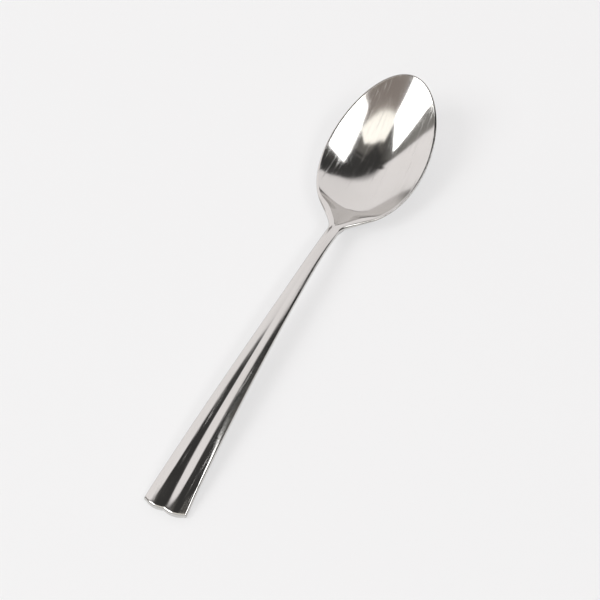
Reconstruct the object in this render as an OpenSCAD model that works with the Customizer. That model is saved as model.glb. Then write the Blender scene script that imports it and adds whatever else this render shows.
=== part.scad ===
// Tablespoon pressed from one blank of polished steel, lying on a table with
// the bowl open upwards. X runs across the spoon, Y from the end of the handle
// to the tip of the bowl and Z up from the table. Lengths are millimetres.

/* [Overall] */
// Length from the end of the handle to the tip of the bowl
overall_length = 204.6; // [170:0.2:245]

/* [Bowl] */
// Length of the bowl from its heel to its tip
bowl_length = 65; // [53:0.2:78]
// Width of the bowl at its widest place
bowl_width = 40.8; // [33:0.2:50]
// Depth of the hollow below the rim at the middle of the bowl
bowl_depth = 8.2; // [6.5:0.1:10]
// Wall under the middle of the bowl
bowl_wall = 1.3; // [1:0.1:1.8]
// Height of the rounded edge of the rim
rim_edge = 1; // [0.7:0.1:1.4]
// Width of the rim from its edge to the hollow
rim_width = 0.8; // [0.6:0.1:1.2]
// Rise of the rim from the middle of the bowl to its tip
tip_rise = 12.8; // [9:0.2:16]
// Fall of the rim from the middle of the bowl to its heel
heel_fall = 5.4; // [4:0.2:7]
// Share of its width that the bowl loses towards the tip
tip_taper = 0.04; // [0:0.01:0.1]
// Depth of the worn flat that the bowl rests on
rest_wear = 0.15; // [0.1:0.01:0.25]

/* [Shoulder] */
// Distance from the heel back to where the neck starts to widen
shoulder_back = 6.4; // [4:0.2:9]
// Distance from the heel forward to where the bowl's curve takes over
shoulder_front = 4.6; // [3:0.2:7]
// Distance from the heel back to the point of the hollow
hollow_back = 4; // [3:0.2:5]
// Angle between the centre line and each edge of the hollow at its point
hollow_angle = 39; // [34:1:46]
// Distance from the point of the hollow at which its edges turn out to the rim
hollow_side = 8.6; // [7:0.2:11]
// Distance from the middle of the bowl at which its floor would come up to the rim
hollow_reach = 37; // [34:0.5:42]
// Steepness of the facet between the point of the hollow and its floor
heel_drop = 0.4; // [0.32:0.01:0.46]
// Extra metal under the heel
heel_swell = 3; // [2:0.1:3.6]

/* [Neck] */
// Width of the neck at its narrowest
neck_width = 5; // [4:0.1:7]
// Distance from the heel back to the narrowest place
neck_back = 16.4; // [13:0.2:20]
// Height of the rounded side of the neck
neck_edge = 2.4; // [1.8:0.1:3.2]
// Rise of the neck's top between its sides
neck_crown = 0.6; // [0.2:0.1:1]
// Bulge of the neck's underside between its sides
neck_belly = 0.6; // [0.2:0.1:1]
// Steepness of the fall from the neck to the heel
neck_fall = 0.28; // [0.2:0.01:0.36]

/* [Handle] */
// Width of the handle at its end
end_width = 17; // [13:0.2:21]
// Height of the rounded side at the end
end_edge = 2.4; // [1.8:0.1:3]
// Power of the curve by which the handle widens from neck to end
flare = 1.33; // [1:0.01:1.7]
// Height of the handle's side at the top of its arch
crest_height = 9.6; // [7:0.1:13]
// Distance from the heel back to the top of the arch
crest_back = 33; // [26:0.5:40]
// Steepness of the handle at its end
end_slope = 0.17; // [0.08:0.01:0.24]
// Rise of the handle's middle over its sides along the stem
stem_crown = 0.3; // [0.1:0.1:1]
// Rounding of the long sides
side_round = 0.9; // [0.5:0.1:1.2]
// Rise of the underside between its sides at the end
back_hollow = 0.3; // [0.1:0.05:0.6]

/* [Reeds] */
// Height of the two reeds over the crease between them
reed_height = 0.9; // [0.4:0.1:1.3]
// Distance from the end at which the reeds start to fade
reed_fade = 25; // [20:1:60]
// Share of the reeds' height that is left at the end
reed_end = 0.45; // [0.3:0.05:1]
// Distance that the end bows out in its middle
end_bow = 0.8; // [0.2:0.1:1.6]
// Distance that each reed stands out from the crease at the end
end_lobe = 0.8; // [0.2:0.1:1.4]
// Rounding of the end's edges
end_round = 0.7; // [0.4:0.1:0.9]

/* [Hidden] */
steel = [0.8, 0.8, 0.79];

y_end = -overall_length / 2;
y_tip = overall_length / 2;
y_heel = y_tip - bowl_length;
y_mid = y_tip - bowl_length / 2;
y_neck = y_heel - neck_back;
y_crest = y_heel - crest_back;
y_point = y_heel - hollow_back;
y_shoulder = y_heel - shoulder_back;
y_curve = y_heel + shoulder_front;
half_length = bowl_length / 2;
half_width = bowl_width / 2;
half_hollow = half_width - rim_width;
back_depth = bowl_depth + bowl_wall - rim_edge;
rim_round = rim_width * 0.55;
half_back = half_width - rim_round;
neck_round = neck_width * 0.27;
heel_soften = 1;
heel_crease = 0.25;
slim = 0.85;
slim_edge = 0.98;
across = 8;
side_steps = 3;
tiny = 0.01;

function mix(a, b, t) = a + (b - a) * t;
function ease(a, b, y) =
    let (t = min(1, max(0, (y - a) / (b - a))))
    t * t * (3 - 2 * t);
function bridge(a, b, y) =
    let (span = b[0] - a[0], t = (y - a[0]) / span)
    a[1] * (2 * t ^ 3 - 3 * t ^ 2 + 1) + a[2] * span * (t ^ 3 - 2 * t ^ 2 + t)
    + b[1] * (3 * t ^ 2 - 2 * t ^ 3) + b[2] * span * (t ^ 3 - t ^ 2);

// Outline from above: the bowl's egg, the flared handle and the shoulder between them.
function egg(y) =
    let (s = (y - y_mid) / half_length)
    half_width * sqrt(max(0, 1 - s * s)) * (1 - tip_taper * s);
function stem(y) =
    let (t = max(0, (y_neck - y) / (y_neck - y_end)))
    neck_width / 2 + (end_width - neck_width) / 2 * t ^ flare;
curve_slope = (egg(y_curve + tiny) - egg(y_curve - tiny)) / (2 * tiny);
function half(y) =
    y < y_shoulder ? stem(y)
    : y < y_curve ? bridge([y_shoulder, neck_width / 2, 0], [y_curve, egg(y_curve), curve_slope], y)
    : egg(y);

// Side view: the line of the rim, the arch of the handle and the soft meeting of both at the heel.
function rim_line(y) =
    let (s = (y - y_mid) / half_length, t = max(-1, s))
    (tip_rise + heel_fall) / 2 * s + (tip_rise - heel_fall) / 2 * (t * t - 2 * (s - t));
back_low = min([for (i = [0:200])
    let (y = mix(y_curve, y_tip, i / 200))
    rim_line(y) - rim_edge - back_depth * (max(0, egg(y) - rim_round) / half_back) ^ 2]);
rim_mid = -back_low - rest_wear;
heel_height = rim_mid + rim_line(y_heel);
function arch(y) =
    y < y_crest ? bridge([y_end + end_round, end_edge, end_slope], [y_crest, crest_height, 0], y)
    : y < y_heel ? bridge([y_crest, crest_height, 0], [y_heel, heel_height, -neck_fall], y)
    : heel_height - neck_fall * (y - y_heel);
function land(y) =
    let (
        a = arch(y),
        b = rim_mid + rim_line(y))
    (a + b + norm([a - b, heel_soften * ease(y_neck - 20, y_neck, y)])) / 2;

// Section sizes along the spoon.
function to_neck(y) = ease(y_end, y_neck, y);
function to_bowl(y) = ease(y_neck + 4, y_heel + 12, y);
function side_height(y) = mix(mix(end_edge, neck_edge, to_neck(y)), rim_edge, to_bowl(y));
function rounding(y) = mix(mix(side_round, neck_round, to_neck(y)), rim_round, to_bowl(y));
function crown(y) =
    mix(0, mix(stem_crown, neck_crown, ease(y_crest - 20, y_neck, y)), ease(y_end, y_end + 30, y))
    * (1 - ease(y_neck + 4, y_heel + 6, y));
function belly(y) =
    mix(neck_belly * to_neck(y), heel_swell, ease(y_neck + 4, y_heel + 3, y))
    * (1 - ease(y_heel + 10, y_heel + 26, y));
function back_rise(y) = back_hollow * (1 - to_neck(y));
function reed(y) =
    reed_height * mix(reed_end, 1, ease(y_end, y_end + 16, y)) * (1 - ease(y_end + reed_fade, y_neck + 4, y));
function lobe(v) = 4 * v * (1 - v);
function end_shape(v) = end_bow * (1 - v * v) + end_lobe * lobe(v);
end_reach = max([for (v = [0:0.01:1]) end_shape(v)]);

// Half-width of the hollow inside an edge that stands at x, or of the smooth top before its point.
function hollow(x, y) =
    y <= y_point ? max(0.3, slim * x * (1 - ease(y_neck, y_point, y)))
    : let (
        past = y - y_point - hollow_side,
        v = (y - y_point) * tan(hollow_angle) + (past + norm([past, 1])) / 2)
    (x + v - norm([x - v, 1])) / 2 + 0.25 / (x + v);

// Depth of the hollow: a cup with straightened walls, a long floor to the heel and a facet up to the point.
function cup(q) = (sqrt(2) - sqrt(2 - q)) / (sqrt(2) - 1);
function long_share(y) =
    let (s = (y - y_mid) / hollow_reach)
    (1 - s * s) * (1 - tip_taper * s) ^ 2;
function full_depth(y) =
    let (
        floor_depth = bowl_depth * cup(long_share(y)) + land(y) - rim_mid - rim_line(y),
        facet_depth = land(y) - land(y_point) + heel_drop * (y - y_point))
    max(0, (floor_depth + facet_depth - norm([floor_depth - facet_depth, heel_crease])) / 2);
function dip(x, h, y) =
    y <= y_point ? 0
    : let (inside = max(0, h * h - x * x))
    y > y_mid ? bowl_depth * cup(inside / half_hollow ^ 2)
    : full_depth(y) * cup(long_share(y) * inside / (h * h)) / cup(long_share(y));
function swell(x, w, y) =
    let (
        bowl = back_depth * ease(y_neck - 10, y_neck + 5, y) * max(0, w * w - x * x) / half_back ^ 2,
        spine = max(0, belly(y) * (1 - (x / stem(y)) ^ 2 * 0.6)))
    (bowl ^ 3 + spine ^ 3) ^ (1 / 3);

// A station is [x, y] on the outline, its normal, the inset, the share of the end's shape and the spread,
// which is the half-width over the sideways part of the normal.
function station(y, inset, share) =
    let (
        k = y < y_neck ? 0 : (half(y + tiny) - half(y - tiny)) / (2 * tiny),
        n = [1, -k] / norm([1, k]))
    [half(y), y, n, inset, share, half(y) / n[0]];
function egg_station(a) =
    let (
        wide = half_width * (1 + tip_taper * cos(a)),
        d = [wide * cos(a) - half_width * tip_taper * sin(a) ^ 2, half_length * sin(a)])
    [wide * sin(a), y_mid - half_length * cos(a), [d[1], -d[0]] / norm(d), 0, 0, wide * norm(d) / half_length];

// Rolled side that meets top and underside without a kink: half height, first angle and last angle.
function rolled(r, top_slope, back_slope, height, tall, times) =
    let (
        first = atan2(tall, r * top_slope),
        last = atan2(tall, r * back_slope))
    times == 0 ? [tall, first, -last]
    : rolled(r, top_slope, back_slope, height, height / (sin(first) + sin(last)), times - 1);
function side_shape(st, height, times) =
    let (
        y = st[1],
        n = st[2],
        r = rounding(y),
        fall = (land(y + tiny) - land(y - tiny)) / (2 * tiny),
        inside = max(st[0] - 0.4 * r * n[0], 0.05),
        top_slope = n[0] * (2 * crown(y) + 4 * reed(y)) / inside - n[1] * fall,
        stem_back = n[0] * (1.2 * belly(y) * inside / stem(y) ^ 2 - 2 * back_rise(y) / inside),
        bowl_back = 2 * back_depth * st[5] / half_back ^ 2 + n[1] * fall,
        back_slope = mix(stem_back, bowl_back, ease(y_heel - 8, y_curve, y)),
        roll = rolled(r, top_slope, back_slope, height, height / 2, 12),
        y_top = y - r * (1 - cos(roll[1])) * n[1],
        y_back = y - r * (1 - cos(roll[2])) * n[1])
    times == 0 ? roll
    : side_shape(st, land(y_top) - land(y_back) + side_height(y_back), times - 1);

// One closed ring: top from left to right, right side, underside from right to left, left side.
function ring(st) =
    let (
        inset = st[3],
        n = st[2],
        r = rounding(st[1]),
        roll = side_shape(st, side_height(st[1]), 2),
        pull = r * (1 - cos(roll[1])),
        tuck = r * (1 - cos(roll[2])),
        w = max(0, st[0] - pull * n[0]),
        w_back = max(0, st[0] - tuck * n[0]),
        y = st[1] - pull * n[1],
        y_back = st[1] - tuck * n[1],
        pocket = to_bowl(st[1]),
        yh = st[1] - mix(pull, rim_width, pocket) * n[1],
        h = min(slim_edge * w, hollow(max(tiny, st[0] - mix(pull + 0.4, rim_width, pocket) * n[0]), yh)),
        xs = [-w, each [for (i = [-across:across]) h * i / across], w],
        ys = [y, each [for (i = [-across:across]) yh], y])
    [
        for (i = [0:len(xs) - 1])
            top_point(xs[i], ys[i], w, h, inset, st[4]),
        for (i = [1:side_steps])
            side_point(1, mix(roll[1], roll[2], i / (side_steps + 1)), roll, w, y, r, st),
        for (i = [0:len(xs) - 1])
            under_point(w_back * underside(i), y_back, w_back, inset, st[4]),
        for (i = [1:side_steps])
            side_point(-1, mix(roll[2], roll[1], i / (side_steps + 1)), roll, w, y, r, st),
    ];
function underside(i) = i == 0 ? 1 : i == 2 * across + 2 ? -1 : -slim * (i - across - 1) / across;
function end_shift(x, w, share) = share == 0 ? 0 : share * (end_reach - end_shape(min(1, abs(x) / w)));
function top_point(x, y, w, h, inset, share) =
    let (v = min(1, abs(x) / max(w, tiny)))
    [
        x * (1 - inset / max(w, 1)),
        y + end_shift(x, w, share),
        land(y) + crown(y) * (1 - v * v) + reed(y) * lobe(v) - dip(x, h, y) - inset
    ];
function under_point(x, y, w, inset, share) =
    let (v = min(1, abs(x) / max(w, tiny)))
    [
        x * (1 - inset / max(w, 1)),
        y + end_shift(x, w, share),
        max(0, land(y) - side_height(y) - swell(x, w, y) + back_rise(y) * (1 - v * v)) + inset
    ];
function side_point(side, a, roll, w, y_top, r, st) =
    let (out = r * (1 - cos(a)) + st[3] * cos(a))
    [
        side * max(0, st[0] - out * st[2][0]),
        st[1] - out * st[2][1] + end_shift(w, w, st[4]),
        land(y_top) + roll[0] * (sin(a) - sin(roll[1])) - st[3] * sin(a)
    ];

count = 2 * (2 * across + 3 + side_steps);
centre = across + 1;
last = 2 * across + 2;

// Place of a ring's point in the list, with both halves of the closing ring joined at the tip.
function place(i, j, n, closed) =
    let (k = j % count)
    !closed || i < n - 1 ? i * count + k
    : i * count + folded(k);
function folded(k) =
    k == 0 || k == last ? last
    : k < last ? centre
    : k <= last + side_steps ? k
    : k == last + side_steps + 1 || k == 2 * last + side_steps + 1 ? last + side_steps + 1
    : k <= 2 * last + side_steps + 1 ? last + side_steps + 1 + centre
    : last + side_steps + 1 - (k - 2 * last - side_steps - 1);
function triangles(f) = [
    for (t = [[f[0], f[1], f[2]], [f[0], f[2], f[3]]])
        if (t[0] != t[1] && t[1] != t[2] && t[2] != t[0]) t];
function skin(n, closed) = [
    for (i = [0:n - 2], j = [0:count - 1])
        each triangles([
            place(i, j, n, closed),
            place(i, j + 1, n, closed),
            place(i + 1, j + 1, n, closed),
            place(i + 1, j, n, closed)])];

// Flat or bowed face across one ring: a strip between top and underside and a fan at each side.
function cap(base) = [
    for (j = [0:last - 1])
        each triangles([
            base + j,
            base + 2 * last + side_steps + 1 - j,
            base + 2 * last + side_steps - j,
            base + j + 1]),
    for (i = [0:side_steps - 1])
        [base + last + side_steps + 1, base + last + i + 1, base + last + i],
    for (i = [0:side_steps - 1])
        let (k = base + 2 * last + side_steps + 1)
        [base, i == 0 ? k + side_steps : k + side_steps - i, k + side_steps - i - 1]];
function turned(faces) = [for (f = faces) [f[2], f[1], f[0]]];

module loft(stations, closed) {
    n = len(stations);
    points = [for (st = stations) each ring(st)];
    ends = closed ? cap(0) : concat(cap(0), turned(cap((n - 1) * count)));
    polyhedron(points = points, faces = concat(skin(n, closed), ends));
}

end_steps = [for (a = [90:-30:0]) station(
    y_end + end_round * (1 - sin(a)), end_round * (1 - cos(a)), 1)];
handle_steps = [for (i = [1:42])
    let (y = mix(y_end + end_round, y_neck, i / 42))
    station(y, 0, 1 - ease(y_end + end_round, y_end + 16, y))];
bowl_steps = concat(
    [for (i = [0:16]) station(mix(y_neck, y_curve, i / 17), 0, 0)],
    [for (i = [0:36]) egg_station(mix(acos((y_mid - y_curve) / half_length), 180, i / 36))]);

// Handle with two reeds, from its bowed end to the middle of the neck.
module handle() {
    color(steel)
        loft(concat(end_steps, handle_steps), false);
}

// Bowl with its shoulder and the front half of the neck.
module bowl() {
    color(steel)
        loft(bowl_steps, true);
}

handle();
bowl();
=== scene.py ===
"""Looks of the tablespoon: one pressed blank of polished stainless steel, lying on a pale table."""

import math

import bpy
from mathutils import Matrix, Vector


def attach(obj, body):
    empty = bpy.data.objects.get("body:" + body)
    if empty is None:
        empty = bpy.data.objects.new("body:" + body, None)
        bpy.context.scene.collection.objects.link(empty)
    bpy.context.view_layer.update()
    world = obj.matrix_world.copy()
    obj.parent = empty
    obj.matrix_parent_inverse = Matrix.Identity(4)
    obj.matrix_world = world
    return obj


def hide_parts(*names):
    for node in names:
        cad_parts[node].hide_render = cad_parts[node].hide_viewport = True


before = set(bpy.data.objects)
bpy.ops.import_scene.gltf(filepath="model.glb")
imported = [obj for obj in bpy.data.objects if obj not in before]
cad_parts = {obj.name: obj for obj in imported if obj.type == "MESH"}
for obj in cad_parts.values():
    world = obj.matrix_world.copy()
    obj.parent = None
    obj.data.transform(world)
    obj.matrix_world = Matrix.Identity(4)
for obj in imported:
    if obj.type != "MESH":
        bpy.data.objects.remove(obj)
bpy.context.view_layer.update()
scene = bpy.context.scene
MM = 0.001

# The spoon's own sizes in millimetres, the same as the construction's but for the reeds, which stand 0.1 mm
# taller, have a sharper ridge and run out a little later.
LENGTH = 204.6
BOWL_LENGTH = 65.0
BOWL_WIDTH = 40.8
BOWL_DEPTH = 8.2
BOWL_WALL = 1.3
RIM_EDGE = 1.0
RIM_WIDTH = 0.8
TIP_RISE = 12.8
HEEL_FALL = 5.4
TIP_TAPER = 0.04
REST_WEAR = 0.15
SHOULDER_BACK = 6.4
SHOULDER_FRONT = 4.6
HOLLOW_BACK = 4.0
HOLLOW_ANGLE = 39.0
HOLLOW_SIDE = 8.6
HOLLOW_REACH = 37.0
HEEL_DROP = 0.4
HEEL_CREASE = 0.25
HEEL_SWELL = 3.0
NECK_WIDTH = 5.0
NECK_BACK = 16.4
NECK_EDGE = 2.4
NECK_CROWN = 0.6
NECK_BELLY = 0.6
NECK_FALL = 0.28
END_WIDTH = 17.0
END_EDGE = 2.4
FLARE = 1.33
CREST_HEIGHT = 9.6
CREST_BACK = 33.0
END_SLOPE = 0.17
STEM_CROWN = 0.3
SIDE_ROUND = 0.9
BACK_HOLLOW = 0.3
REED_HEIGHT = 1.0
REED_FADE = 34.0
REED_END = 0.45
END_BOW = 0.8
END_LOBE = 0.8
END_ROUND = 0.7
# The top falls off a little at the very end of the handle, where the wheel runs over it.
END_FALL = 0.3
FALL_LENGTH = 8.0
# How far the polishing wheel rounds the crease between the reeds, as a share of half the width at the neck
# and at the end, and the meeting at the heel, in millimetres.
CREASE_SOFT = 0.03
CREASE_END = 0.14
CREASE_RUN = 60.0
HEEL_SOFT = 1.0
# Share of a reed's width over which its ridge is rounded; its flanks are nearly flat beside it.
RIDGE_SOFT = 0.12
# Shares of the rim's and the neck's width that are rounded on each side.
RIM_ROUND_SHARE = 0.55
NECK_ROUND_SHARE = 0.27
# Lengths in millimetres over which the section changes: at the handle's end, on the handle and past the heel.
END_RUN = 16.0
CROWN_RUN = 30.0
CREST_RUN = 20.0
NECK_RUN = 4.0
CROWN_OUT = 6.0
RIM_RUN = 12.0
SPINE_FULL = 3.0
SPINE_FADE = 10.0
SPINE_OUT = 26.0
# Share of the spine under the neck that is lost at the sides.
SPINE_FALL = 0.6
# Step in millimetres for measuring a slope.
STEP = 0.01
# Sections along the rounded end, the handle, the neck and the bowl.
END_ROWS = 9
HANDLE_ROWS = 160
NECK_ROWS = 70
BOWL_ROWS = 130

Y_END = -LENGTH / 2
Y_TIP = LENGTH / 2
Y_HEEL = Y_TIP - BOWL_LENGTH
Y_MID = Y_TIP - BOWL_LENGTH / 2
Y_NECK = Y_HEEL - NECK_BACK
Y_CREST = Y_HEEL - CREST_BACK
Y_POINT = Y_HEEL - HOLLOW_BACK
Y_SHOULDER = Y_HEEL - SHOULDER_BACK
Y_CURVE = Y_HEEL + SHOULDER_FRONT
HALF_LENGTH = BOWL_LENGTH / 2
HALF_WIDTH = BOWL_WIDTH / 2
HALF_HOLLOW = HALF_WIDTH - RIM_WIDTH
BACK_DEPTH = BOWL_DEPTH + BOWL_WALL - RIM_EDGE
RIM_ROUND = RIM_WIDTH * RIM_ROUND_SHARE
HALF_BACK = HALF_WIDTH - RIM_ROUND
NECK_ROUND = NECK_WIDTH * NECK_ROUND_SHARE


def mix(a, b, t):
    return a + (b - a) * t


def ease(a, b, y):
    t = min(1.0, max(0.0, (y - a) / (b - a)))
    return t * t * (3 - 2 * t)


def bridge(a, b, y):
    """Smooth curve between two (place, height, slope) knots."""
    span = b[0] - a[0]
    t = (y - a[0]) / span
    return (a[1] * (2 * t**3 - 3 * t**2 + 1) + a[2] * span * (t**3 - 2 * t**2 + t)
            + b[1] * (3 * t**2 - 2 * t**3) + b[2] * span * (t**3 - t**2))


# Outline from above.
def egg(y):
    s = (y - Y_MID) / HALF_LENGTH
    return HALF_WIDTH * math.sqrt(max(0.0, 1 - s * s)) * (1 - TIP_TAPER * s)


def stem(y):
    t = max(0.0, (Y_NECK - y) / (Y_NECK - Y_END))
    return NECK_WIDTH / 2 + (END_WIDTH - NECK_WIDTH) / 2 * t**FLARE


CURVE_SLOPE = (egg(Y_CURVE + STEP) - egg(Y_CURVE - STEP)) / (2 * STEP)


def half(y):
    if y < Y_SHOULDER:
        return stem(y)
    if y < Y_CURVE:
        return bridge((Y_SHOULDER, NECK_WIDTH / 2, 0), (Y_CURVE, egg(Y_CURVE), CURVE_SLOPE), y)
    return egg(y)


# Side view: the rim, the arch of the handle and their soft meeting at the heel.
def rim_line(y):
    s = (y - Y_MID) / HALF_LENGTH
    t = max(-1.0, s)
    return (TIP_RISE + HEEL_FALL) / 2 * s + (TIP_RISE - HEEL_FALL) / 2 * (t * t - 2 * (s - t))


def back_line(y):
    return rim_line(y) - RIM_EDGE - BACK_DEPTH * (max(0.0, egg(y) - RIM_ROUND) / HALF_BACK) ** 2


RIM_MID = -min(back_line(mix(Y_CURVE, Y_TIP, i / 200)) for i in range(201)) - REST_WEAR
HEEL_HEIGHT = RIM_MID + rim_line(Y_HEEL)


def end_fall(y):
    return END_FALL * max(0.0, 1 - (y - Y_END) / FALL_LENGTH) ** 2


def arch(y):
    if y < Y_CREST:
        return bridge((Y_END + END_ROUND, END_EDGE, END_SLOPE), (Y_CREST, CREST_HEIGHT, 0), y) - end_fall(y)
    if y < Y_HEEL:
        return bridge((Y_CREST, CREST_HEIGHT, 0), (Y_HEEL, HEEL_HEIGHT, -NECK_FALL), y)
    return HEEL_HEIGHT - NECK_FALL * (y - Y_HEEL)


def land(y):
    a, b = arch(y), RIM_MID + rim_line(y)
    return (a + b + math.hypot(a - b, HEEL_SOFT * ease(Y_NECK - CREST_RUN, Y_NECK, y))) / 2


# Section sizes along the spoon.
def to_neck(y):
    return ease(Y_END, Y_NECK, y)


def to_bowl(y):
    return ease(Y_NECK + NECK_RUN, Y_HEEL + RIM_RUN, y)


def side_height(y):
    return mix(mix(END_EDGE, NECK_EDGE, to_neck(y)), RIM_EDGE, to_bowl(y)) - end_fall(y)


def rounding(y):
    return mix(mix(SIDE_ROUND, NECK_ROUND, to_neck(y)), RIM_ROUND, to_bowl(y))


def crown(y):
    middle = mix(STEM_CROWN, NECK_CROWN, ease(Y_CREST - CREST_RUN, Y_NECK, y))
    return middle * ease(Y_END, Y_END + CROWN_RUN, y) * (1 - ease(Y_NECK + NECK_RUN, Y_HEEL + CROWN_OUT, y))


def belly(y):
    full = mix(NECK_BELLY * to_neck(y), HEEL_SWELL, ease(Y_NECK + NECK_RUN, Y_HEEL + SPINE_FULL, y))
    return full * (1 - ease(Y_HEEL + SPINE_FADE, Y_HEEL + SPINE_OUT, y))


def back_rise(y):
    return BACK_HOLLOW * (1 - to_neck(y))


def reed(y):
    full = REED_HEIGHT * mix(REED_END, 1, ease(Y_END, Y_END + END_RUN, y))
    return full * (1 - ease(Y_END + REED_FADE, Y_NECK + NECK_RUN, y))


def ridge(v):
    """Section of a reed, from the crease at 0 to the edge at 1."""
    full = math.hypot(0.5, RIDGE_SOFT)
    return (full - math.hypot(v - 0.5, RIDGE_SOFT)) / (full - RIDGE_SOFT)


FLANK = (ridge(0.001) - ridge(0.0)) / 0.001


def end_shape(v):
    return END_BOW * (1 - v * v) + END_LOBE * 4 * v * (1 - v)


END_REACH = max(end_shape(i / 100) for i in range(101))


def hollow(x, y):
    """Half-width of the hollow inside an edge that stands at x, or of the smooth top before its point."""
    if y <= Y_POINT:
        return max(0.3, 0.85 * x * (1 - ease(Y_NECK, Y_POINT, y)))
    past = y - Y_POINT - HOLLOW_SIDE
    v = (y - Y_POINT) * math.tan(math.radians(HOLLOW_ANGLE)) + (past + math.hypot(past, 1)) / 2
    return (x + v - math.hypot(x - v, 1)) / 2 + 0.25 / (x + v)


def cup(q):
    """Share of the full depth where the floor's share of the way in from the rim is q."""
    return (math.sqrt(2) - math.sqrt(2 - q)) / (math.sqrt(2) - 1)


def full_depth(y):
    """Depth of the hollow under the land along its middle: the long floor, or the facet at the heel."""
    s = (y - Y_MID) / HOLLOW_REACH
    floor = BOWL_DEPTH * cup((1 - s * s) * (1 - TIP_TAPER * s) ** 2) + land(y) - RIM_MID - rim_line(y)
    facet = land(y) - land(Y_POINT) + HEEL_DROP * (y - Y_POINT)
    return max(0.0, (floor + facet - math.hypot(floor - facet, HEEL_CREASE)) / 2)


def dip(x, h, y):
    if y <= Y_POINT:
        return 0.0
    across = max(0.0, h * h - x * x)
    if y > Y_MID:
        return BOWL_DEPTH * cup(across / HALF_HOLLOW**2)
    q = (1 - ((y - Y_MID) / HOLLOW_REACH) ** 2) * (1 - TIP_TAPER * (y - Y_MID) / HOLLOW_REACH) ** 2
    return full_depth(y) * cup(q * across / (h * h)) / cup(q)


def swell(x, w, y):
    bowl = BACK_DEPTH * ease(Y_NECK - 10, Y_NECK + 5, y) * max(0.0, w * w - x * x) / HALF_BACK**2
    spine = max(0.0, belly(y) * (1 - (x / stem(y)) ** 2 * SPINE_FALL))
    return (bowl**3 + spine**3) ** (1 / 3)


def top_height(x, y, w, h):
    u = min(1.0, abs(x) / max(w, 0.01))
    soft = mix(CREASE_END, CREASE_SOFT, ease(Y_END, Y_END + CREASE_RUN, y))
    v = min(1.0, math.hypot(u, soft * (1 - u)))
    return land(y) + crown(y) * (1 - u * u) + reed(y) * ridge(v) - dip(x, h, y)


def back_height(x, y, w):
    u = min(1.0, abs(x) / max(w, 0.01))
    return max(0.0, land(y) - side_height(y) - swell(x, w, y) + back_rise(y) * (1 - u * u))


# Columns of a section: from the crease or keel out to the hollow's edge, then the rim, then the rolled side.
INNER = 15
INNER_SHARES = [math.sinh(3.2 * k / INNER) / math.sinh(3.2) for k in range(1, INNER + 1)]
ROLL = 9


def columns(x, y, yh, h):
    """(x, y) of the right half of the top, from the centre out to the edge at x, y."""
    near = min(1.0, 0.5 * h)
    places = [((h - 0.6 * near) * s, yh) for s in INNER_SHARES]
    places += [(h - 0.3 * near, yh), (h - 0.12 * near, yh), (h, yh)]
    places += [(mix(h, x, t), mix(yh, y, t)) for t in (0.33, 0.67, 1.0)]
    return places


def rolled_side(r, top_slope, back_slope, height):
    """Half height, first and last angle of the rolled side that meets top and back without a kink."""
    tall = height / 2
    for _ in range(20):
        first, last = math.atan2(tall, r * top_slope), math.atan2(tall, r * back_slope)
        tall = height / (math.sin(first) + math.sin(last))
    return tall, first, -last


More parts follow.
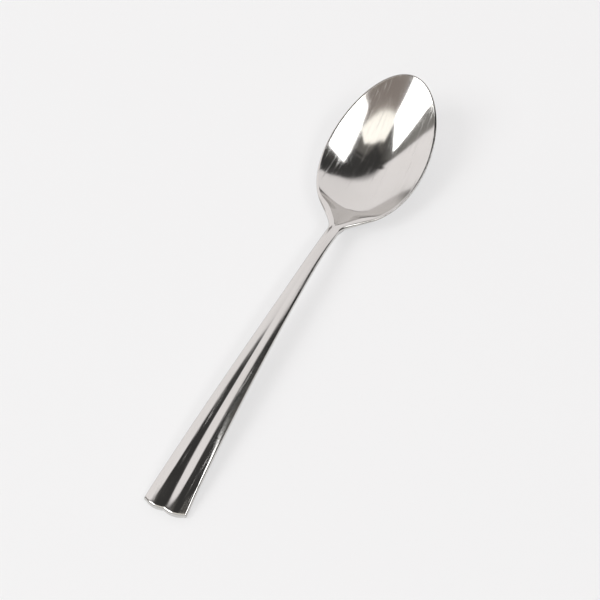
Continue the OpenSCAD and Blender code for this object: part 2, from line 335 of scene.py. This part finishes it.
def section(x, y, nx, ny, spread, inset=0.0, share=0.0, closed=False, folded=False):
    """One section of the spoon as a list of points: top from left to right, right side, back, left side.

    x, y is the outline's place, nx, ny its outward normal, spread the ratio of half-width to nx;
    inset and share round and bow the handle's end, closed shuts the section and folded is the tip."""
    r = rounding(y)
    fall = (land(y + 0.05) - land(y - 0.05)) / 0.1
    inside = max(x - 0.4 * r * nx, 0.05)
    top_slope = nx * (2 * crown(y) + FLANK * reed(y)) / inside - ny * fall
    stem_back = nx * (2 * SPINE_FALL * belly(y) * inside / stem(y) ** 2 - 2 * back_rise(y) / inside)
    bowl_back = 2 * BACK_DEPTH * spread / HALF_BACK**2 + ny * fall
    back_slope = mix(stem_back, bowl_back, ease(Y_HEEL - 8, Y_CURVE, y))
    height = side_height(y)
    for _ in range(3):
        tall, first, last = rolled_side(r, top_slope, back_slope, height)
        pull, tuck = r * (1 - math.cos(first)), r * (1 - math.cos(last))
        y_top, y_back = y - pull * ny, y - tuck * ny
        height = land(y_top) - land(y_back) + side_height(y_back)
    w, w_back = max(0.0, x - pull * nx), max(0.0, x - tuck * nx)
    pocket = to_bowl(y)
    yh = y - mix(pull, RIM_WIDTH, pocket) * ny
    h = hollow(max(0.01, x - mix(pull + 0.4, RIM_WIDTH, pocket) * nx), yh)
    h = min(h, 0.98 * w) if w > 0.05 else 0.0
    side = columns(w, y_top, yh, h)
    bow = [share * (END_REACH - end_shape(min(1.0, px / max(w, 0.01)))) for px, _ in side]
    edge = bow[-1]
    top, back = [], []
    for sign in (-1, 1):
        run = list(zip(side, bow))
        for (px, py), shift in (reversed(run) if sign < 0 else run):
            u = px / max(w, 0.01)
            lean = mix(math.pi / 2, first, u * u)
            top.append((sign * (px - inset * math.cos(lean)), py + shift,
                        top_height(px, py, w, h) - inset * math.sin(lean)))
            qx = w_back * u
            lean = mix(-math.pi / 2, last, u * u)
            back.append((sign * (qx - inset * math.cos(lean)), y_back + shift,
                         back_height(qx, y_back, w_back) - inset * math.sin(lean)))
        if sign < 0:
            middle = share * (END_REACH - end_shape(0.0))
            top.append((0.0, yh + middle, top_height(0.0, yh, w, h) - inset))
            back.append((0.0, y_back + middle, back_height(0.0, y_back, w_back) + inset))
    roll = []
    for k in range(1, ROLL + 1):
        a = mix(first, last, k / (ROLL + 1))
        out = r * (1 - math.cos(a)) + inset * math.cos(a)
        roll.append((x - out * nx, y - out * ny + edge,
                     land(y_top) + tall * (math.sin(a) - math.sin(first)) - inset * math.sin(a)))
    if closed:
        flat = [(t[0], (t[1] + b[1]) / 2, (t[2] + b[2]) / 2) for t, b in zip(top, back)]
        return flat + [flat[-1]] * ROLL + flat[::-1] + [flat[0]] * ROLL
    points = top + roll + back[::-1] + [(-p[0], p[1], p[2]) for p in reversed(roll)]
    return [(0.0, p[1], p[2]) for p in points] if folded else points


def stem_section(y, **kind):
    k = 0.0 if y <= Y_NECK else (half(y + STEP) - half(y - STEP)) / (2 * STEP)
    nx = 1 / math.hypot(1, k)
    return section(half(y), y, nx, -k * nx, half(y) / nx, **kind)


def egg_section(a, **kind):
    c, s = math.cos(a), math.sin(a)
    dx = HALF_WIDTH * (c * (1 + TIP_TAPER * c) - TIP_TAPER * s * s)
    dy = HALF_LENGTH * s
    size = math.hypot(dx, dy)
    spread = HALF_WIDTH * (1 + TIP_TAPER * c) * size / HALF_LENGTH
    return section(HALF_WIDTH * s * (1 + TIP_TAPER * c), Y_MID - HALF_LENGTH * c,
                   dy / size, -dx / size, spread, **kind)


def end_rows():
    """Sections of the rounded end, from its closed face to its full size."""
    steps = [math.radians(90 - 90 * k / END_ROWS) for k in range(END_ROWS + 1)]
    rows = [(Y_END + END_ROUND * (1 - math.sin(a)), END_ROUND * (1 - math.cos(a))) for a in steps]
    face = stem_section(rows[0][0], inset=rows[0][1], share=1.0, closed=True)
    return [face] + [stem_section(y, inset=inset, share=1.0) for y, inset in rows]


def handle_sections():
    start = Y_END + END_ROUND
    rows = end_rows()
    for k in range(1, HANDLE_ROWS + 1):
        y = mix(start, Y_NECK, k / HANDLE_ROWS)
        rows.append(stem_section(y, share=1 - ease(start, Y_END + END_RUN, y)))
    return rows + [stem_section(Y_NECK, closed=True)]


def bowl_sections():
    rows = [stem_section(Y_NECK, closed=True)]
    rows += [stem_section(mix(Y_NECK, Y_CURVE, k / NECK_ROWS)) for k in range(NECK_ROWS)]
    start = math.acos((Y_MID - Y_CURVE) / HALF_LENGTH)
    rows += [egg_section(mix(start, math.pi, k / BOWL_ROWS)) for k in range(BOWL_ROWS)]
    return rows + [egg_section(math.pi - 1e-6, folded=True)]


def press(name, rows):
    """A flat grid is laid round the sections, row by row, and its meeting edges are merged."""
    across, along = len(rows[0]), len(rows) - 1
    bpy.ops.object.select_all(action="DESELECT")
    bpy.ops.mesh.primitive_grid_add(x_subdivisions=across, y_subdivisions=along, size=2.0)
    piece = bpy.context.object
    piece.name = piece.data.name = name
    for v in piece.data.vertices:
        column = round((v.co.x + 1) / 2 * across) % across
        row = round((v.co.y + 1) / 2 * along)
        v.co = Vector(rows[row][column]) * MM
    bpy.ops.object.mode_set(mode="EDIT")
    bpy.ops.mesh.select_all(action="SELECT")
    bpy.ops.mesh.remove_doubles(threshold=1e-7)
    bpy.ops.mesh.normals_make_consistent(inside=False)
    bpy.ops.object.mode_set(mode="OBJECT")
    bpy.ops.object.shade_smooth_by_angle(angle=math.radians(45))
    return piece


def linear(hex_colour):
    """Linear colour of an sRGB hex value such as #D2D0CC."""
    parts = [int(hex_colour[i:i + 2], 16) / 255 for i in (1, 3, 5)]
    return [p / 12.92 if p <= 0.04045 else ((p + 0.055) / 1.055) ** 2.4 for p in parts] + [1.0]


def add(tree, kind, settings=None, **inputs):
    """Adds one node; inputs are values or (node, output) links, and numbers pick a socket by place."""
    node = tree.nodes.new(kind)
    for key, value in (settings or {}).items():
        setattr(node, key, value)
    for key, value in inputs.items():
        socket = node.inputs[int(key[1:])] if key[0] == "_" else node.inputs[key.replace("_", " ")]
        if isinstance(value, tuple) and isinstance(value[0], bpy.types.Node):
            tree.links.new(value[0].outputs[value[1]], socket)
        else:
            socket.default_value = value
    return node


def new_material(name):
    material = bpy.data.materials.new(name)
    material.use_nodes = True
    material.node_tree.nodes.clear()
    return material, material.node_tree


# Stainless steel, pressed and then polished on a wheel: a near mirror with a warm grey cast. The pressing
# leaves it faintly wavy, the wheel and the cloth leave a haze that varies over some centimetres, and washing
# and use leave hairlines along the spoon, most of them on the right wall of the bowl, which scrapes the
# plate. Real hairlines are some hundredths of a millimetre wide; they are drawn 0.3 mm wide, so that they
# show.
def polished_stainless_steel():
    material, tree = new_material("polished_stainless_steel")
    place = add(tree, "ShaderNodeTexCoord")
    haze = add(tree, "ShaderNodeTexNoise", Vector=(place, "Object"), Scale=1 / 0.014, Detail=3.0)
    patches = add(tree, "ShaderNodeTexNoise", Vector=(place, "Object"), Scale=1 / 0.022, Detail=2.0)
    along = add(tree, "ShaderNodeMapping", {"vector_type": "POINT"}, Vector=(place, "Object"),
                Rotation=(0.0, 0.0, math.radians(4)), Scale=(1 / 0.0005, 1 / 0.02, 1 / 0.006))
    lines = add(tree, "ShaderNodeTexNoise", Vector=(along, "Vector"), Scale=1.0, Detail=2.0)
    worn = add(tree, "ShaderNodeMapRange", Value=(patches, "Fac"), From_Min=0.36, From_Max=0.56)
    thin = add(tree, "ShaderNodeMapRange", Value=(lines, "Fac"), From_Min=0.56, From_Max=0.72)
    spot = add(tree, "ShaderNodeSeparateXYZ", Vector=(place, "Object"))
    right = add(tree, "ShaderNodeMapRange", Value=(spot, "X"), From_Min=0.006, From_Max=0.012)
    front = add(tree, "ShaderNodeMapRange", Value=(spot, "Y"), From_Min=0.05, From_Max=0.06)
    scraped = add(tree, "ShaderNodeMath", {"operation": "MULTIPLY"}, _0=(right, "Result"),
                  _1=(front, "Result"))
    used = add(tree, "ShaderNodeMath", {"operation": "MAXIMUM"}, _0=(worn, "Result"), _1=(scraped, "Value"))
    hairlines = add(tree, "ShaderNodeMath", {"operation": "MULTIPLY"}, _0=(used, "Value"),
                    _1=(thin, "Result"))
    colour = add(tree, "ShaderNodeMix", {"data_type": "RGBA"}, _0=(haze, "Fac"),
                 _6=linear("#D8D7D5"), _7=linear("#D0CECB"))
    polish = add(tree, "ShaderNodeMapRange", Value=(haze, "Fac"), From_Min=0.3, From_Max=0.7,
                 To_Min=0.09, To_Max=0.13)
    rough = add(tree, "ShaderNodeMath", {"operation": "MULTIPLY_ADD"}, _0=(hairlines, "Value"), _1=0.2,
                _2=(polish, "Result"))
    wave = add(tree, "ShaderNodeBump", Strength=1.0, Distance=0.00004, Height=(patches, "Fac"))
    shader = add(tree, "ShaderNodeBsdfPrincipled", Metallic=1.0, Base_Color=(colour, 2),
                 Roughness=(rough, "Value"), Normal=(wave, "Normal"))
    add(tree, "ShaderNodeOutputMaterial", Surface=(shader, "BSDF"))
    return material


handle = press("handle_steel", handle_sections())
bowl = press("bowl_steel", bowl_sections())
steel = polished_stainless_steel()
for piece, node in ((handle, "handle"), (bowl, "bowl")):
    piece.data.materials.append(steel)
    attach(piece, "root")
    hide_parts(node)

# Stage: a pale table, and the cards and soft lamps that stand round it in a darker room.
FOCUS = Vector((0.0, 0.07, 0.01))


def toward(azimuth, elevation):
    """Direction that is so many degrees to the right of ahead and above the table."""
    a, e = math.radians(azimuth), math.radians(elevation)
    return Vector((math.sin(a) * math.cos(e), math.cos(a) * math.cos(e), math.sin(e)))


def paper(name, colour, strength, right=1.0, fade=0.0):
    """Lit paper or wall, seen only in the steel and as soft light.

    right is the light at its right side as a share of that at its left; fade is the share of its height,
    along the top, over which the light falls off."""
    material, tree = new_material(name)
    place = add(tree, "ShaderNodeTexCoord")
    spot = add(tree, "ShaderNodeSeparateXYZ", Vector=(place, "UV"))
    side = add(tree, "ShaderNodeMapRange", Value=(spot, "X"), To_Min=strength, To_Max=strength * right)
    top = add(tree, "ShaderNodeMapRange", Value=(spot, "Y"), From_Min=1 - fade, From_Max=1.0001,
              To_Min=1.0, To_Max=0.2)
    level = add(tree, "ShaderNodeMath", {"operation": "MULTIPLY"}, _0=(side, "Result"), _1=(top, "Result"))
    glow = add(tree, "ShaderNodeEmission", Color=linear(colour), Strength=(level, "Value"))
    add(tree, "ShaderNodeOutputMaterial", Surface=(glow, "Emission"))
    return material


def card(name, low, high, distance, material):
    """A curved card between two lines of (azimuth, elevation) corners, facing the spoon."""
    bpy.ops.object.select_all(action="DESELECT")
    bpy.ops.mesh.primitive_grid_add(x_subdivisions=60, y_subdivisions=12, size=2.0)
    sheet = bpy.context.object
    sheet.name = name

    def along(line, t):
        k = min(int(t * (len(line) - 1)), len(line) - 2)
        f = t * (len(line) - 1) - k
        return mix(line[k][0], line[k + 1][0], f), mix(line[k][1], line[k + 1][1], f)

    for v in sheet.data.vertices:
        u, t = (v.co.x + 1) / 2, (v.co.y + 1) / 2
        a, b = along(low, u), along(high, u)
        v.co = FOCUS + toward(mix(a[0], b[0], t), mix(a[1], b[1], t)) * distance
    sheet.data.materials.append(material)
    sheet.visible_camera = False


def soft_lamp(name, azimuth, elevation, distance, width, height, radiance, colour):
    bpy.ops.object.light_add(type="AREA", location=FOCUS + toward(azimuth, elevation) * distance)
    lamp = bpy.context.object
    lamp.name = name
    lamp.rotation_euler = (-toward(azimuth, elevation)).to_track_quat("-Z", "Y").to_euler()
    lamp.data.shape = "RECTANGLE"
    lamp.data.size, lamp.data.size_y = width, height
    lamp.data.energy = radiance * math.pi * width * height
    lamp.data.color = linear(colour)[:3]


bpy.ops.object.select_all(action="DESELECT")
bpy.ops.mesh.primitive_plane_add(size=30.0, location=(0.0, 0.0, -0.00002))
table = bpy.context.object
table.name = "table"
table_paint, tree = new_material("matt_white_table")
diffuse = add(tree, "ShaderNodeBsdfPrincipled", Base_Color=linear("#F5F5F5"), Roughness=0.7)
diffuse.inputs["Specular IOR Level"].default_value = 0.2
backdrop = add(tree, "ShaderNodeEmission", Color=linear("#F1F1F2"), Strength=1.0)
path = add(tree, "ShaderNodeLightPath")
direct = add(tree, "ShaderNodeMath", {"operation": "MAXIMUM"}, _0=(path, "Is Camera Ray"),
             _1=(path, "Is Glossy Ray"))
share = add(tree, "ShaderNodeMath", {"operation": "MULTIPLY"}, _0=(direct, "Value"), _1=0.6)
shown = add(tree, "ShaderNodeMixShader", _0=(share, "Value"), _1=(diffuse, "BSDF"), _2=(backdrop, "Emission"))
add(tree, "ShaderNodeOutputMaterial", Surface=(shown, "Shader"))
table.data.materials.append(table_paint)

# Corners of the cards, as (azimuth, elevation) in degrees along the lower and the upper edge.
SWEEP_LOW = [(a, -2) for a in (-99, -96, -92, -87, -80, -70, -60, -40, -20, 0, 20, 30, 38, 43)]
SWEEP_HIGH = [(-99, 40), (-97, 51), (-93, 60), (-87, 64), (-80, 67), (-70, 70), (-60, 72), (-40, 75),
              (-20, 76), (0, 75), (20, 70), (30, 64), (38, 56), (43, 48)]
card("pale_sweep", SWEEP_LOW, SWEEP_HIGH, 3.3, paper("pale_paper", "#FFFBFB", 1.14, right=0.83, fade=0.11))
card("far_wall", [(-46, -2), (-20, -2), (10, -2)], [(-38, 18), (-18, 23), (4, 19)], 3.25,
     paper("shaded_wall", "#FFF8F2", 0.22))
card("cream_wall", [(112, 57), (140, 57.5), (165, 57.5), (203, 56)],
     [(110, 67), (135, 73), (160, 74), (203, 70)], 3.2, paper("cream_paint", "#FFFBF3", 1.6))
card("brown_wall", [(118, 30), (160, 30), (200, 30)], [(122, 59), (160, 60), (198, 59)], 3.3,
     paper("brown_cloth", "#FFEEE4", 0.3))
card("front_wall", [(140, 6), (170, 6), (200, 6)], [(140, 44), (170, 44), (200, 44)], 3.2,
     paper("white_paint", "#FFFEFC", 0.8))
card("grey_panel_right", [(80, 50), (122, 50)], [(95, 78), (150, 78)], 3.5,
     paper("grey_paint", "#FFF8F0", 0.15))
card("grey_panel_back", [(-172, 50), (-130, 50)], [(-172, 77), (-130, 77)], 3.6,
     paper("grey_curtain", "#FFF8F0", 0.1))
card("grey_panel_left", [(-130, -2), (-97, -2)], [(-130, 75), (-97, 75)], 3.5,
     paper("grey_cloth", "#FFFAF4", 0.27, fade=0.5))
card("grey_panel_low", [(58, -2), (125, -2)], [(58, 58), (125, 58)], 3.6,
     paper("grey_board", "#FFF8F0", 0.08, right=4.0, fade=0.35))
soft_lamp("soft_lamp_right", azimuth=95.5, elevation=50.3, distance=3.0, width=2.2, height=0.7, radiance=4.4,
          colour="#FFFFFF")
soft_lamp("soft_lamp_left", azimuth=-135, elevation=43.5, distance=3.0, width=1.6, height=1.66, radiance=5.0,
          colour="#FFFFFF")

world = bpy.data.worlds.new("room")
scene.world = world
world.use_nodes = True
world.node_tree.nodes.clear()
tree = world.node_tree
path = add(tree, "ShaderNodeLightPath")
white = add(tree, "ShaderNodeBackground", Color=linear("#F2F2F2"), Strength=1.0)
room = add(tree, "ShaderNodeBackground", Color=linear("#FFFCFA"), Strength=0.045)
seen = add(tree, "ShaderNodeMixShader", _0=(path, "Is Camera Ray"), _1=(room, "Background"),
           _2=(white, "Background"))
add(tree, "ShaderNodeOutputWorld", Surface=(seen, "Shader"))

# Camera at the photograph's viewing angle.
bpy.ops.object.camera_add(location=(0.19924, -0.39134, 0.60441))
camera = bpy.context.object
camera.name = "camera"
camera.rotation_euler = toward(azimuth=-26.793, elevation=-54.0).to_track_quat("-Z", "Y").to_euler()
camera.data.lens = 120.0
camera.data.sensor_width = 36.0
scene.camera = camera
scene.view_settings.view_transform = "Standard"
